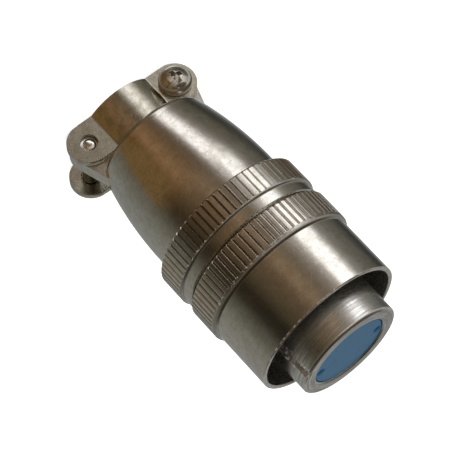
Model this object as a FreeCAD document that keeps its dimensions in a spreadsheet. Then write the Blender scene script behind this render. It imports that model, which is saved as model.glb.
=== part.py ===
import FreeCAD, Part
import math
import os
import re
import Sketcher

# A cable plug of the round multi-contact kind, standing on the end of its cable clamp with the
# mating face up. The foot of the clamp is at height 0 and the axis of the plug is Z. The near
# saddle of the clamp faces -Y, and the two clamp screws lie along Y at +X and -X.

doc = FreeCAD.newDocument("aviation_plug")

SIZES = [
    ("saddle_width", 7.5, "width of each clamp saddle along the plug"),
    ("saddle_gauge", 1.2, "sheet thickness of the saddles"),
    ("saddle_slack", 3.25, "how much wider a saddle's arch curves than the bush's bore"),
    ("arch_set", 3.2, "centre of a saddle's arch beyond the plug's axis"),
    ("saddle_bend", 0.5, "inside radius of the bend from arch to ear"),
    ("screw_offset", 2.7, "clamp screw axis to the cable opening"),
    ("ear_radius", 3.7, "rounded end of a saddle's ear"),
    ("ear_neck", 0.4, "how far short of the screw axis the straight ear edge ends"),
    ("clamp_opening", 7.2, "how far the far saddle stands off its lugs"),
    ("clamp_seat", 0.03, "gap between the near saddle and its lugs"),
    ("lug_thickness", 2.7, "thickness of the two clamp lugs"),
    ("lug_radius", 3.35, "rounded end of a lug"),
    ("lug_flare", 18, "slope of a lug's outer edge, in degrees"),
    ("lug_root", 2.2, "how far a lug runs up the backshell"),
    ("lug_inset", 0.8, "foot of a lug's inner edge to the cable opening"),
    ("lug_hole", 1.8, "radius of the screw hole in a lug"),
    ("screw_radius", 1.45, "clamp screw shank"),
    ("screw_length", 12, "clamp screw under its head"),
    ("head_radius", 2.8, "clamp screw head"),
    ("head_height", 2.1, "clamp screw head"),
    ("head_side", 0.8, "straight side of the screw head"),
    ("recess_span", 3.2, "tip to tip of the cross recess"),
    ("recess_width", 0.7, "width of a slot of the cross recess"),
    ("recess_depth", 1.3, "depth of the cross recess"),
    ("tapped_gap", 0.08, "screw shank to tapped hole"),
    ("clear_gap", 0.25, "screw shank to clear hole"),
    ("head_seat", 0.03, "screw head to saddle"),
    ("rear_gap", 1.3, "clamp saddles to the backshell's rear face"),
    ("rim_round", 1.3, "rounding of the rear rim"),
    ("body_step", 1.75, "backshell ahead of the taper, under the knurl"),
    ("taper_drop", 1.95, "how much the taper narrows to the rear rim"),
    ("taper_length", 16.6, "curved taper with the rear rim"),
    ("barrel_length", 2.8, "straight length behind the rear knurl"),
    ("knurl_radius", 14.05, "both knurled rings over their teeth"),
    ("knurl_depth", 0.4, "depth of the grooves between teeth"),
    ("knurl_gap", 0.42, "width of a groove at the top of the teeth"),
    ("knurl_chamfer", 0.3, "rear edges of the knurled rings"),
    ("rear_knurl_width", 4.85, "teeth of the backshell's ring"),
    ("knurl_strip", 0.4, "plain strip of a ring ahead of its teeth"),
    ("neck_step", 0.45, "plain band between the two rings, under the knurl"),
    ("neck_length", 2.45, "plain band between the two rings, with the strip"),
    ("neck_rise", 0.1, "flat face between the strip's rounding and the plain band"),
    ("edge_break", 0.2, "small chamfers and roundings"),
    ("spigot_wall", 2.26, "front spigot of the backshell"),
    ("spigot_length", 0.9, "front spigot of the backshell"),
    ("body_wall", 3.7, "backshell round its wiring space"),
    ("floor_thickness", 2.4, "rear wall of the backshell"),
    ("floor_ledge", 2.2, "rear wall from the wiring space in to the cable opening"),
    ("tail_depth", 10.4, "how deep the plug shell's tail goes into the backshell"),
    ("tail_step", 0.3, "threaded tail under the plug shell's outside"),
    ("thread_gap", 0.04, "plug shell's tail to the backshell's bore"),
    ("gasket_thickness", 1.0, "flat gasket behind the tail"),
    ("gasket_wall", 1.0, "flat gasket, inside to outside"),
    ("nut_gap", 0.4, "coupling nut to the plain band"),
    ("nut_knurl_width", 5.1, "teeth of the coupling nut"),
    ("sleeve_step", 0.55, "front sleeve under the knurl, and the rounding between them"),
    ("sleeve_wall", 0.8, "thin front sleeve of the coupling nut"),
    ("sleeve_length", 11.25, "thin front sleeve of the coupling nut"),
    ("sleeve_tongue", 0.5, "wall of the sleeve's tongue in the coupling nut"),
    ("skirt_depth", 3, "rear skirt of the coupling nut"),
    ("skirt_gap", 0.4, "rear skirt to the backshell's spigot"),
    ("web_thickness", 2, "inward web of the coupling nut"),
    ("web_gap", 0.1, "web bore to plug shell"),
    ("nut_play", 1.0, "axial play of the coupling nut"),
    ("stop_gap", 0.3, "left between web and collar at full play"),
    ("slip_gap", 0.1, "thrust washer to its neighbours"),
    ("washer_thickness", 0.7, "thrust washer"),
    ("washer_gap", 0.5, "thrust washer to the rear skirt"),
    ("ring_thickness", 0.8, "retaining ring behind the nut's web"),
    ("ring_stand", 1.4, "retaining ring over the plug shell"),
    ("ring_groove", 0.6, "depth of the retaining ring's groove"),
    ("ring_seat", 0.05, "retaining rings to their grooves"),
    ("ring_slit", 40, "opening of a retaining ring, in degrees"),
    ("mating_gap", 3.2, "space for the mating shell between sleeve and plug shell"),
    ("shell_round", 0.5, "front edge of the plug shell"),
    ("shell_protrusion", 5.2, "plug shell ahead of the coupling nut"),
    ("collar_gap", 0.5, "collar of the plug shell to the nut's sleeve"),
    ("collar_thickness", 2, "collar of the plug shell ahead of the web"),
    ("shell_wall", 1.6, "plug shell round its main bore"),
    ("face_lip", 0.9, "lip that holds the insulator's shoulder"),
    ("nose_length", 4, "front bore of the plug shell"),
    ("face_gasket_height", 0.5, "gasket between the insulator's shoulder and the shell"),
    ("key_width", 1.2, "keyway in the plug shell"),
    ("key_depth", 0.6, "keyway in the plug shell"),
    ("key_length", 11, "keyway in the plug shell"),
    ("key_bearing", -19.5, "direction of the keyway, in degrees from +X"),
    ("seal_height", 1.6, "sealing ring ahead of the collar"),
    ("joint_wall", 0.8, "plug shell's spigot in the flange"),
    ("joint_depth", 3.0, "plug shell's spigot in the flange"),
    ("joint_gap", 0.05, "spigots of the turned pieces to their counterbores"),
    ("seal_inset", 0.5, "sealing ring inside the collar's edge"),
    ("seal_land", 0.4, "land that the sealing ring sits on, over the plug shell"),
    ("insert_gap", 0.07, "insulators to the plug shell"),
    ("face_recess", 0.25, "insulator face behind the plug shell's rim"),
    ("front_block", 7.9, "front insulator behind its nose"),
    ("rear_block", 10.4, "rear insulator"),
    ("lock_thickness", 0.9, "lock ring behind the insulators"),
    ("lock_wall", 0.65, "lock ring inside the bore"),
    ("lock_groove", 0.4, "depth of the lock ring's groove"),
    ("contact_inset", 1.1, "contact axis to the front bore"),
    ("entry_radius", 0.7, "contact hole in the face"),
    ("socket_radius", 1.25, "socket contact's barrel"),
    ("socket_bore", 0.75, "socket contact's bore"),
    ("socket_depth", 7, "socket contact's bore"),
    ("socket_setback", 0.3, "socket mouth behind the insulator's shoulder"),
    ("collar_step", 0.35, "contact's collar over its barrel"),
    ("collar_height", 0.9, "contact's collar"),
    ("cup_radius", 1.1, "contact's tail and solder cup"),
    ("cup_bore", 0.75, "solder cup"),
    ("cup_depth", 4, "solder cup"),
    ("cup_overhang", 5.5, "contact's tail behind the insulator"),
    ("contact_gap", 0.05, "contacts to the insulators"),
    ("sleeve_gauge", 0.15, "spring sleeve round a socket"),
    ("spring_length", 4, "spring sleeve round a socket"),
    ("bush_skin", 2.8, "rubber cable bush inside the cable opening"),
    ("bush_gap", 0.05, "cable bush to the backshell"),
    ("bush_flange", 2, "flange of the cable bush"),
    ("bush_length", 8, "cable bush ahead of its flange"),
    ("bush_wall", 1.5, "front end of the cable bush"),
]

LEVELS = [
    ("sleeve_radius", "knurl_radius - sleeve_step"),
    ("nut_bore", "sleeve_radius - sleeve_wall"),
    ("shell_radius", "nut_bore - mating_gap"),
    ("web_bore", "shell_radius + web_gap"),
    ("insert_bore", "shell_radius - shell_wall"),
    ("face_bore", "insert_bore - face_lip"),
    ("contact_reach", "face_bore - contact_inset"),
    ("land_radius", "shell_radius + seal_land"),
    ("collar_radius", "nut_bore - collar_gap"),
    ("seal_radius", "collar_radius - seal_inset"),
    ("ring_radius", "shell_radius + ring_stand"),
    ("tail_radius", "shell_radius - tail_step"),
    ("tail_bore", "tail_radius + thread_gap"),
    ("spigot_radius", "tail_bore + spigot_wall"),
    ("skirt_bore", "spigot_radius + skirt_gap"),
    ("washer_radius", "skirt_bore - washer_gap"),
    ("neck_radius", "knurl_radius - neck_step"),
    ("joint_radius", "insert_bore + joint_wall"),
    ("tongue_radius", "nut_bore + sleeve_tongue"),
    ("strip_round", "neck_step - neck_rise"),
    ("body_radius", "knurl_radius - body_step"),
    ("rim_radius", "body_radius - taper_drop"),
    ("cavity_radius", "body_radius - body_wall"),
    ("cable_opening", "cavity_radius - floor_ledge"),
    ("bush_bore", "cable_opening - bush_skin"),
    ("saddle_bore", "bush_bore + saddle_slack"),
    ("screw_reach", "cable_opening + screw_offset"),
    ("screw_level", "saddle_width / 2"),
    ("rear_rim", "saddle_width + rear_gap"),
    ("floor_level", "rear_rim + floor_thickness"),
    ("taper_top", "rear_rim + taper_length"),
    ("knurl_low", "taper_top + barrel_length"),
    ("knurl_high", "knurl_low + rear_knurl_width"),
    ("neck_top", "knurl_high + neck_length"),
    ("spigot_top", "neck_top + spigot_length"),
    ("tail_low", "spigot_top - tail_depth"),
    ("gasket_low", "tail_low - gasket_thickness"),
    ("nut_low", "neck_top + nut_gap"),
    ("web_low", "nut_low + skirt_depth"),
    ("web_high", "web_low + web_thickness"),
    ("nut_knurl_high", "nut_low + nut_knurl_width"),
    ("sleeve_low", "nut_knurl_high + knurl_strip + sleeve_step"),
    ("sleeve_high", "sleeve_low + sleeve_length"),
    ("shell_front", "sleeve_high + shell_protrusion"),
    ("collar_low", "web_high + nut_play + stop_gap"),
    ("collar_high", "collar_low + collar_thickness"),
    ("barrel_low", "collar_high + seal_height"),
    ("joint_low", "barrel_low - joint_depth"),
    ("washer_high", "web_low - slip_gap"),
    ("washer_low", "washer_high - washer_thickness"),
    ("ring_high", "washer_low - slip_gap"),
    ("ring_low", "ring_high - ring_thickness"),
    ("nose_low", "shell_front - nose_length"),
    ("shoulder_level", "nose_low - face_gasket_height"),
    ("block_joint", "shoulder_level - front_block"),
    ("block_low", "block_joint - rear_block"),
    ("lock_high", "block_low - ring_seat"),
    ("lock_low", "lock_high - lock_thickness"),
    ("cup_low", "block_low - cup_overhang"),
    ("socket_mouth", "shoulder_level - socket_setback"),
    ("saddle_back", "saddle_bore + saddle_gauge"),
    ("ear_inner", "lug_thickness / 2 + clamp_seat"),
    ("ear_outer", "ear_inner + saddle_gauge"),
    ("far_outer", "ear_outer + clamp_opening"),
    ("bend_drop", "ear_outer + saddle_bend + arch_set"),
    ("bend_centre", "sqrt((saddle_back + saddle_bend)^2 - bend_drop^2)"),
    ("bend_share", "saddle_back / (saddle_back + saddle_bend)"),
    ("bore_share", "saddle_bore / (saddle_back + saddle_bend)"),
    ("flare_level", "screw_level + lug_radius * sin(lug_flare)"),
    ("flare_reach", "screw_reach + lug_radius * cos(lug_flare)"),
    ("root_level", "rear_rim + lug_root"),
    ("root_reach", "flare_reach - (root_level - flare_level) * tan(lug_flare)"),
    ("taper_run", "taper_length - rim_round"),
    ("taper_round", "(taper_run^2 + taper_drop^2) / (2 * taper_drop)"),
    ("contact_collar", "socket_radius + collar_step"),
]

TEETH = 72

HOME = {row[0]: "Sizes." for row in SIZES}
HOME.update({row[0]: "Levels." for row in LEVELS})


def formula(text):
    """Name the sheet of every size in a formula."""
    return re.sub(r"[a-z_]+", lambda word: HOME.get(word[0], "") + word[0], text)


def fill_sheet(name, rows):
    """Write one sheet: names in column A, contents in B, notes in C."""
    sheet = doc.addObject("Spreadsheet::Sheet", name)
    for number, row in enumerate(rows, 1):
        sheet.set("A%d" % number, row[0])
        sheet.set("B%d" % number, row[1])
        sheet.setAlias("B%d" % number, row[0])
        if len(row) > 2:
            sheet.set("C%d" % number, row[2])
    return sheet


sizes = fill_sheet("Sizes", [(name, str(number), note) for name, number, note in SIZES])
fill_sheet("Levels", [(name, "=" + formula(text)) for name, text in LEVELS])
doc.recompute()


def value(text):
    """Work out a formula as a plain number."""
    return float(sizes.evalExpression(formula(text)))


def bind(thing, **places):
    """Tie properties of an object to formulas; a double underscore stands for a dot."""
    for place, text in places.items():
        thing.setExpression(place.replace("__", "."), formula(text))
    return thing


def tie(sketch, constraint, name, text):
    """Add a named constraint and tie its size to a formula."""
    sketch.renameConstraint(sketch.addConstraint(constraint), name)
    sketch.setExpression("Constraints." + name, formula(text))


def draw(sketch, outline):
    """Draw a closed outline of corners (x, y), all tied to formulas.

    A corner with two more entries starts an arc to the next corner: its radius, and 1 where its
    centre is on the left of the way along, or -1 on the right.
    """
    spots = [(value(corner[0]), value(corner[1])) for corner in outline]
    ends = []
    for index, corner in enumerate(outline):
        x1, y1 = spots[index]
        x2, y2 = spots[(index + 1) % len(spots)]
        if len(corner) == 2:
            edge = Part.LineSegment(FreeCAD.Vector(x1, y1, 0), FreeCAD.Vector(x2, y2, 0))
            ends.append((1, 2))
        else:
            radius, side = value(corner[2]), corner[3]
            chord = math.hypot(x2 - x1, y2 - y1)
            rise = math.sqrt(max(radius**2 - chord**2 / 4, 0)) * side / chord
            cx = (x1 + x2) / 2 - (y2 - y1) * rise
            cy = (y1 + y2) / 2 + (x2 - x1) * rise
            first = math.atan2(y1 - cy, x1 - cx)
            last = math.atan2(y2 - cy, x2 - cx)
            circle = Part.Circle(FreeCAD.Vector(cx, cy, 0), FreeCAD.Vector(0, 0, 1), radius)
            if side < 0:
                first, last = last, first
            if last < first:
                last += 2 * math.pi
            edge = Part.ArcOfCircle(circle, first, last)
            ends.append((1, 2) if side > 0 else (2, 1))
        sketch.addGeometry(edge, False)
    for index, corner in enumerate(outline):
        after = (index + 1) % len(outline)
        joint = Sketcher.Constraint("Coincident", index, ends[index][1], after, ends[after][0])
        sketch.addConstraint(joint)
        for letter, text, spot in zip("XY", corner, spots[index]):
            constraint = Sketcher.Constraint("Distance" + letter, -1, 1, index, ends[index][0], spot)
            tie(sketch, constraint, "%s%d" % (letter.lower(), index), text)
        if len(corner) > 2:
            constraint = Sketcher.Constraint("Radius", index, value(corner[2]))
            tie(sketch, constraint, "r%d" % index, corner[2])


def new_body(label):
    return doc.addObject("PartDesign::Body", label)


def new_sketch(body, name, role, outline=None, level=None):
    """Start a sketch on an origin plane of the body, raised to a level where one is given."""
    sketch = body.newObject("Sketcher::SketchObject", name)
    plane = [feature for feature in body.Origin.OriginFeatures if feature.Role == role][0]
    sketch.AttachmentSupport = (plane, [""])
    sketch.MapMode = "FlatFace"
    if level:
        sketch.setExpression(".AttachmentOffset.Base.z", formula(level))
    if outline:
        draw(sketch, outline)
    return sketch


def turned(label, outline):
    """A body turned about its own Z axis from an outline of (radius, height)."""
    body = new_body(label)
    sketch = new_sketch(body, label + "_profile", "XZ_Plane", outline)
    turning = body.newObject("PartDesign::Revolution", label + "_turning")
    turning.Profile = sketch
    turning.ReferenceAxis = (sketch, ["V_Axis"])
    turning.Angle = 360
    return body


def cut_groove_ring(body, low, width):
    """Cut the straight knurl: one V groove along the axis, repeated round the ring."""
    over = "(knurl_gap / 2 * (1 + knurl_chamfer / knurl_depth))"
    outline = [
        ("knurl_radius - knurl_depth", "0 * knurl_gap"),
        ("knurl_radius + knurl_chamfer", "-" + over),
        ("knurl_radius + knurl_chamfer", over),
    ]
    name = body.Name + "_knurl"
    sketch = new_sketch(body, name + "_groove", "XY_Plane", outline, low)
    groove = body.newObject("PartDesign::Pocket", name + "_cut")
    groove.Profile = sketch
    groove.Reversed = True
    bind(groove, Length=width)
    pattern = body.newObject("PartDesign::PolarPattern", name + "_ring")
    pattern.Originals = [groove]
    axis = [feature for feature in body.Origin.OriginFeatures if feature.Role == "Z_Axis"][0]
    pattern.Axis = (axis, [""])
    pattern.Angle = 360
    pattern.Occurrences = TEETH
    body.Tip = pattern


def rod(name, radius, length, **places):
    """A plain cylinder used as a tool."""
    return bind(doc.addObject("Part::Cylinder", name), Radius=radius, Height=length, **places)


def cut(label, base, tools):
    """Cut one or more tools from a base."""
    tool = tools[0]
    if len(tools) > 1:
        tool = doc.addObject("Part::MultiFuse", label + "_tools")
        tool.Shapes = tools
    result = doc.addObject("Part::Cut", label)
    result.Base = base
    result.Tool = tool
    return result


def lay(thing, axis, angle):
    """Turn an object about an axis through its own origin."""
    place = thing.Placement
    thing.Placement = FreeCAD.Placement(place.Base, FreeCAD.Rotation(FreeCAD.Vector(*axis), angle))
    return thing


def make_shell_flange():
    """Rear half of the fixed shell: threaded tail, ring groove, collar and the seal's land."""
    return turned("shell_flange", [
        ("land_radius", "barrel_low - joint_gap"),
        ("land_radius", "collar_high"),
        ("collar_radius", "collar_high"),
        ("collar_radius", "collar_low"),
        ("shell_radius", "collar_low"),
        ("shell_radius", "ring_high + ring_seat"),
        ("shell_radius - ring_groove", "ring_high + ring_seat"),
        ("shell_radius - ring_groove", "ring_low - ring_seat"),
        ("shell_radius", "ring_low - ring_seat"),
        ("shell_radius", "spigot_top + thread_gap"),
        ("tail_radius", "spigot_top + thread_gap"),
        ("tail_radius", "tail_low"),
        ("insert_bore", "tail_low"),
        ("insert_bore", "lock_low - ring_seat"),
        ("insert_bore + lock_groove", "lock_low - ring_seat"),
        ("insert_bore + lock_groove", "lock_high + ring_seat"),
        ("insert_bore", "lock_high + ring_seat"),
        ("insert_bore", "joint_low - joint_gap"),
        ("joint_radius + joint_gap", "joint_low - joint_gap"),
        ("joint_radius + joint_gap", "barrel_low - joint_gap"),
    ])


def make_plug_shell():
    """Front half of the fixed shell: the barrel that enters the receptacle, with its keyway."""
    body = turned("plug_shell_turned", [
        ("face_bore + edge_break", "shell_front"),
        ("shell_radius - shell_round", "shell_front", "shell_round", -1),
        ("shell_radius", "shell_front - shell_round"),
        ("shell_radius", "barrel_low"),
        ("joint_radius", "barrel_low"),
        ("joint_radius", "joint_low"),
        ("insert_bore", "joint_low"),
        ("insert_bore", "nose_low"),
        ("face_bore", "nose_low"),
        ("face_bore", "shell_front - edge_break"),
    ])
    key = bind(doc.addObject("Part::Box", "keyway_cutter"), Length="2 * key_depth", Width="key_width",
               Height="2 * key_length")
    bottom = "(shell_radius - key_depth)"
    bind(key, Placement__Base__x=bottom + " * cos(key_bearing) + key_width / 2 * sin(key_bearing)",
         Placement__Base__y=bottom + " * sin(key_bearing) - key_width / 2 * cos(key_bearing)",
         Placement__Base__z="shell_front - key_length")
    key.Placement.Rotation = FreeCAD.Rotation(FreeCAD.Vector(0, 0, 1), value("key_bearing"))
    return cut("plug_shell", body, [key])


def make_mating_seal():
    """Rubber ring that the mating shell presses on, seated on the collar."""
    return turned("mating_seal", [
        ("land_radius + insert_gap", "collar_high"),
        ("land_radius + insert_gap", "collar_high + seal_height"),
        ("seal_radius - edge_break", "collar_high + seal_height"),
        ("seal_radius", "collar_high + seal_height - edge_break"),
        ("seal_radius", "collar_high"),
    ])


def make_coupling_nut():
    """Knurled nut with the inward web that pulls the plug home and a rounded shoulder ahead."""
    body = turned("coupling_nut", [
        ("sleeve_radius", "sleeve_low", "sleeve_step", -1),
        ("knurl_radius", "sleeve_low - sleeve_step"),
        ("knurl_radius", "nut_low + knurl_chamfer"),
        ("knurl_radius - knurl_chamfer", "nut_low"),
        ("skirt_bore", "nut_low"),
        ("skirt_bore", "web_low"),
        ("web_bore", "web_low"),
        ("web_bore", "web_high"),
        ("tongue_radius + joint_gap", "web_high"),
        ("tongue_radius + joint_gap", "sleeve_low"),
    ])
    cut_groove_ring(body, "nut_low", "nut_knurl_width")
    return body


def make_nut_sleeve():
    """Thin front sleeve of the coupling nut, seated in it by a tongue."""
    return turned("nut_sleeve", [
        ("nut_bore + edge_break", "sleeve_high"),
        ("sleeve_radius - edge_break", "sleeve_high", "edge_break", -1),
        ("sleeve_radius", "sleeve_high - edge_break"),
        ("sleeve_radius", "sleeve_low + joint_gap"),
        ("tongue_radius", "sleeve_low + joint_gap"),
        ("tongue_radius", "web_high + joint_gap"),
        ("nut_bore", "web_high + joint_gap"),
        ("nut_bore", "sleeve_high - edge_break"),
    ])


def make_thrust_washer():
    """Flat washer that the nut's web turns on."""
    return turned("thrust_washer", [
        ("web_bore", "washer_low"),
        ("web_bore", "washer_high"),
        ("washer_radius", "washer_high"),
        ("washer_radius", "washer_low"),
    ])


def slit(ring, label, inner, outer, low, height):
    """Open a turned ring with a wedge, as a snap ring is."""
    wedge = bind(doc.addObject("Part::Cylinder", label + "_wedge"), Radius=outer, Height=height,
                 Angle="ring_slit", Placement__Base__z=low)
    return cut(label, ring, [wedge])


def make_nut_retaining_ring():
    """Snap ring that keeps the nut on the plug shell."""
    ring = turned("nut_ring_turned", [
        ("shell_radius - ring_groove + ring_seat", "ring_low"),
        ("shell_radius - ring_groove + ring_seat", "ring_high"),
        ("ring_radius", "ring_high"),
        ("ring_radius", "ring_low"),
    ])
    return slit(ring, "nut_retaining_ring", "shell_radius", "ring_radius + slip_gap", "ring_low - slip_gap",
                "ring_thickness + 2 * slip_gap")


def make_insulator_lock_ring():
    """Snap ring inside the shell's bore, behind the insulators."""
    ring = turned("lock_ring_turned", [
        ("insert_bore - lock_wall", "lock_low"),
        ("insert_bore - lock_wall", "lock_high"),
        ("insert_bore + lock_groove - ring_seat", "lock_high"),
        ("insert_bore + lock_groove - ring_seat", "lock_low"),
    ])
    return slit(ring, "insulator_lock_ring", "insert_bore", "insert_bore + lock_groove + slip_gap",
                "lock_low - slip_gap", "lock_thickness + 2 * slip_gap")


def contact_holes(name, radius, low, high):
    """A pair of round tools, one on each contact axis."""
    tools = []
    for side, sign in (("right", ""), ("left", "-")):
        tools.append(rod(name + "_" + side, radius, "%s - (%s)" % (high, low),
                         Placement__Base__x=sign + "contact_reach", Placement__Base__z=low))
    return tools


def make_front_insulator():
    """Insulator whose nose is the face of the plug, with a stepped hole for each contact."""
    block = turned("front_insulator_turned", [
        ("0 * insert_gap", "block_joint"),
        ("insert_bore - insert_gap", "block_joint"),
        ("insert_bore - insert_gap", "shoulder_level"),
        ("face_bore - insert_gap", "shoulder_level"),
        ("face_bore - insert_gap", "shell_front - face_recess"),
        ("0 * insert_gap", "shell_front - face_recess"),
    ])
    tools = contact_holes("front_collar_hole", "contact_collar + contact_gap", "block_joint - contact_gap",
                          "block_joint + collar_height")
    tools += contact_holes("front_barrel_hole", "socket_radius + sleeve_gauge + contact_gap", "block_joint",
                           "socket_mouth + contact_gap")
    tools += contact_holes("face_hole", "entry_radius", "block_joint", "shell_front")
    return cut("front_insulator", block, tools)


def make_face_gasket():
    """Gasket that seals the insulator's shoulder against the shell."""
    return turned("face_gasket", [
        ("face_bore", "shoulder_level"),
        ("face_bore", "nose_low"),
        ("insert_bore - insert_gap", "nose_low"),
        ("insert_bore - insert_gap", "shoulder_level"),
    ])


def make_rear_insulator():
    """Second insulator, which holds the contacts' collars from behind."""
    block = turned("rear_insulator_turned", [
        ("0 * insert_gap", "block_low"),
        ("insert_bore - insert_gap", "block_low"),
        ("insert_bore - insert_gap", "block_joint - ring_seat"),
        ("0 * insert_gap", "block_joint - ring_seat"),
    ])
    tools = contact_holes("rear_tail_hole", "cup_radius + contact_gap", "block_low - contact_gap",
                          "block_joint")
    return cut("rear_insulator", block, tools)


def make_socket_contact(label, sign):
    """Turned socket contact with a collar, a mouth for the mating pin and a solder cup."""
    body = turned(label + "_turned", [
        ("0 * cup_bore", "cup_low + cup_depth"),
        ("cup_bore", "cup_low + cup_depth"),
        ("cup_bore", "cup_low"),
        ("cup_radius", "cup_low"),
        ("cup_radius", "block_joint"),
        ("contact_collar", "block_joint"),
        ("contact_collar", "block_joint + collar_height - contact_gap"),
        ("socket_radius", "block_joint + collar_height - contact_gap"),
        ("socket_radius", "socket_mouth"),
        ("socket_bore", "socket_mouth"),
        ("socket_bore", "socket_mouth - socket_depth"),
        ("0 * cup_bore", "socket_mouth - socket_depth"),
    ])
    scoop = bind(doc.addObject("Part::Box", label + "_scoop"), Length="2 * cup_radius",
                 Width="4 * cup_radius", Height="cup_depth", Placement__Base__x="cup_bore / 4",
                 Placement__Base__y="-2 * cup_radius", Placement__Base__z="cup_low - contact_gap")
    contact = cut(label, body, [scoop])
    if sign:
        lay(contact, (0, 0, 1), 180)
    return bind(contact, Placement__Base__x=sign + "contact_reach")


def make_socket_sleeve(label, sign):
    """Spring sleeve that keeps the socket's mouth tight."""
    sleeve = turned(label, [
        ("socket_radius", "socket_mouth - spring_length"),
        ("socket_radius", "socket_mouth"),
        ("socket_radius + sleeve_gauge", "socket_mouth"),
        ("socket_radius + sleeve_gauge", "socket_mouth - spring_length"),
    ])
    return bind(sleeve, Placement__Base__x=sign + "contact_reach")


def make_backshell():
    """Cable housing: spigot, plain band, knurled ring, curved taper and two flared clamp lugs."""
    body = turned("backshell", [
        ("tail_bore", "spigot_top"),
        ("spigot_radius", "spigot_top"),
        ("spigot_radius", "neck_top"),
        ("neck_radius - edge_break", "neck_top"),
        ("neck_radius", "neck_top - edge_break"),
        ("neck_radius", "knurl_high + knurl_strip"),
        ("knurl_radius - strip_round", "knurl_high + knurl_strip", "strip_round", -1),
        ("knurl_radius", "knurl_high + knurl_strip - strip_round"),
        ("knurl_radius", "knurl_low + knurl_chamfer"),
        ("knurl_radius - knurl_chamfer", "knurl_low"),
        ("body_radius", "knurl_low"),
        ("body_radius", "taper_top", "taper_round", -1),
        ("rim_radius", "rear_rim + rim_round", "rim_round", -1),
        ("rim_radius - rim_round", "rear_rim"),
        ("cable_opening", "rear_rim"),
        ("cable_opening", "floor_level"),
        ("cavity_radius", "floor_level"),
        ("cavity_radius", "gasket_low"),
        ("tail_bore", "gasket_low"),
    ])
    sketch = new_sketch(body, "lug_outline", "XZ_Plane", [
        ("screw_reach - lug_radius", "screw_level"),
        ("cable_opening + lug_inset", "rear_rim + lug_inset"),
        ("root_reach", "root_level"),
        ("flare_reach", "flare_level", "lug_radius", -1),
        ("screw_reach", "screw_level - lug_radius", "lug_radius", -1),
    ])
    lug = body.newObject("PartDesign::Pad", "lug")
    lug.Profile = sketch
    lug.Midplane = True
    bind(lug, Length="lug_thickness")
    pair = body.newObject("PartDesign::Mirrored", "lug_pair")
    pair.Originals = [lug]
    side = [feature for feature in body.Origin.OriginFeatures if feature.Role == "YZ_Plane"][0]
    pair.MirrorPlane = (side, [""])
    body.Tip = pair
    sketch = new_sketch(body, "lug_hole_centres", "XZ_Plane")
    for number, sign in enumerate(("", "-")):
        centre = FreeCAD.Vector(value(sign + "screw_reach"), value("screw_level"), 0)
        hole = Part.Circle(centre, FreeCAD.Vector(0, 0, 1), value("lug_hole"))
        sketch.addGeometry(hole, False)
        tie(sketch, Sketcher.Constraint("DistanceX", -1, 1, number, 3, centre.x), "x%d" % number,
            sign + "screw_reach")
        tie(sketch, Sketcher.Constraint("DistanceY", -1, 1, number, 3, centre.y), "y%d" % number,
            "screw_level")
        tie(sketch, Sketcher.Constraint("Radius", number, value("lug_hole")), "r%d" % number, "lug_hole")
    holes = body.newObject("PartDesign::Pocket", "lug_holes")
    holes.Profile = sketch
    holes.Midplane = True
    bind(holes, Length="2 * lug_thickness")
    body.Tip = holes
    cut_groove_ring(body, "knurl_low", "rear_knurl_width")
    return body


def make_backshell_gasket():
    """Flat gasket between the tail of the plug shell and the backshell."""
    return turned("backshell_gasket", [
        ("tail_radius - gasket_wall", "gasket_low"),
        ("tail_radius - gasket_wall", "tail_low"),
        ("tail_radius", "tail_low"),
        ("tail_radius", "gasket_low"),
    ])


def make_cable_bush():
    """Rubber bush in the rear opening, with a flange against the rear wall from inside."""
    return turned("cable_bush", [
        ("bush_bore", "rear_rim"),
        ("bush_bore", "floor_level + bush_flange + bush_length"),
        ("bush_bore + bush_wall", "floor_level + bush_flange + bush_length"),
        ("cable_opening", "floor_level + bush_flange"),
        ("cavity_radius - bush_gap", "floor_level + bush_flange"),
        ("cavity_radius - bush_gap", "floor_level + bush_gap"),
        ("cable_opening - bush_gap", "floor_level + bush_gap"),
        ("cable_opening - bush_gap", "rear_rim"),
    ])


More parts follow.
